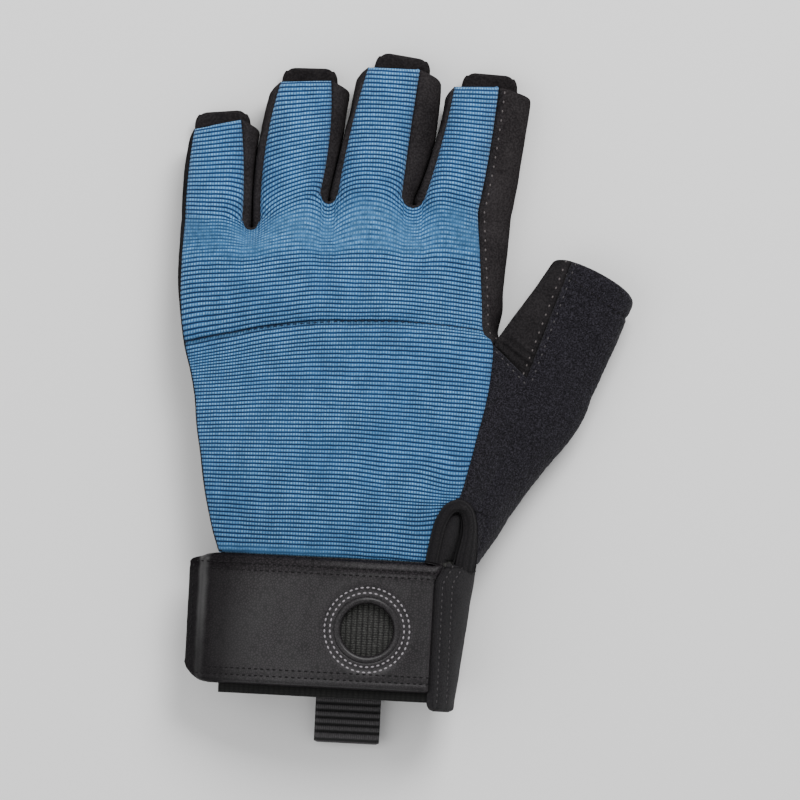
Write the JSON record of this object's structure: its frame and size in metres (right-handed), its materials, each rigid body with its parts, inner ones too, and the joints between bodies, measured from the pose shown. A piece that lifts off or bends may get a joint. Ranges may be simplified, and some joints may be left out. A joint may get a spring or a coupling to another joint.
{
  "type": "climbing glove",
  "caption": "Half-finger glove with ribbed stretch back, leather palm, terry thumb, finger pull tabs and a wrist strap with a clip hole.",
  "frame": {"origin": "on the floor below the middle of the glove's bounding box", "axes": "+Y towards the fingers, +X towards the thumb, +Z out of the back of the hand"},
  "size_m": [0.143, 0.216, 0.0342],
  "materials": {
    "blue_knit": "ribbed stretch knit",
    "palm_leather": "matt synthetic suede",
    "side_leather": "matt synthetic suede",
    "terry": "looped terry",
    "elastic": "diagonal twill elastic",
    "strap_leather": "fine grain",
    "webbing": "ribbed webbing",
    "binding_fabric": "soft folded knit",
    "tab_leather": "matt synthetic suede",
    "knit_base": "plain knit"
  },
  "bodies": {
    "root": {"back_panel": "blue_knit", "palm_panel": "palm_leather", "thumb_back": "terry", "index_side_panel": "side_leather", "fourchette_little_ring": "side_leather", "fourchette_ring_middle": "side_leather", "fourchette_middle_index": "side_leather", "cuff_back": "knit_base", "cuff_elastic": "elastic", "wrist_strap": "strap_leather", "cuff_edge_tape": "binding_fabric", "vent_binding": "binding_fabric", "vent_gusset": "knit_base", "clip_hole_rim": "strap_leather", "palm_patch": "palm_leather", "pull_loop": "webbing", "tape_loop_little_side": "webbing", "tape_loop_thumb_side": "webbing", "pull_tab_little": "tab_leather", "pull_tab_ring": "tab_leather", "pull_tab_middle": "tab_leather", "pull_tab_index": "tab_leather"}
  },
  "joints": []
}
